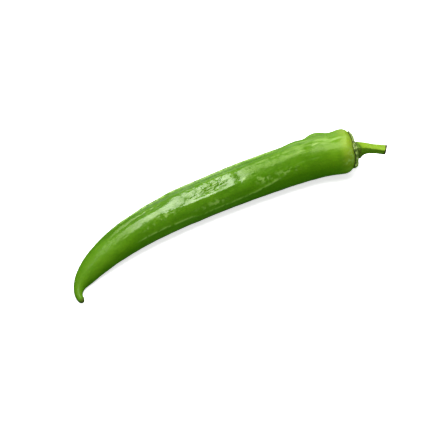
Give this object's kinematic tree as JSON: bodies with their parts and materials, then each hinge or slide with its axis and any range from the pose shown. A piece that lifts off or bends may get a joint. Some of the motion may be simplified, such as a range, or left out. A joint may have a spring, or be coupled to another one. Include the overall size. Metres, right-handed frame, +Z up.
{
  "type": "green chilli pepper",
  "caption": "Long green chilli pepper, as picked, lying on its side: a bent tapering pod with a toothed calyx and a cut stalk.",
  "frame": {"origin": "on the surface it rests on, under the middle of the pepper's bounding box", "axes": "+X from the tip towards the stalk's cut end, +Y to the outside of the bend, +Z up"},
  "size_m": [0.2002, 0.037, 0.0266],
  "materials": {
    "pod_skin": "waxy glossy green skin, lighter at the shoulder",
    "calyx_green": "satin leafy green with a browned rim",
    "stalk_green": "satin yellow-green, brown at the cut end"
  },
  "bodies": {
    "root": {"pod": "pod_skin", "calyx": "calyx_green", "stalk": "stalk_green"}
  },
  "joints": []
}
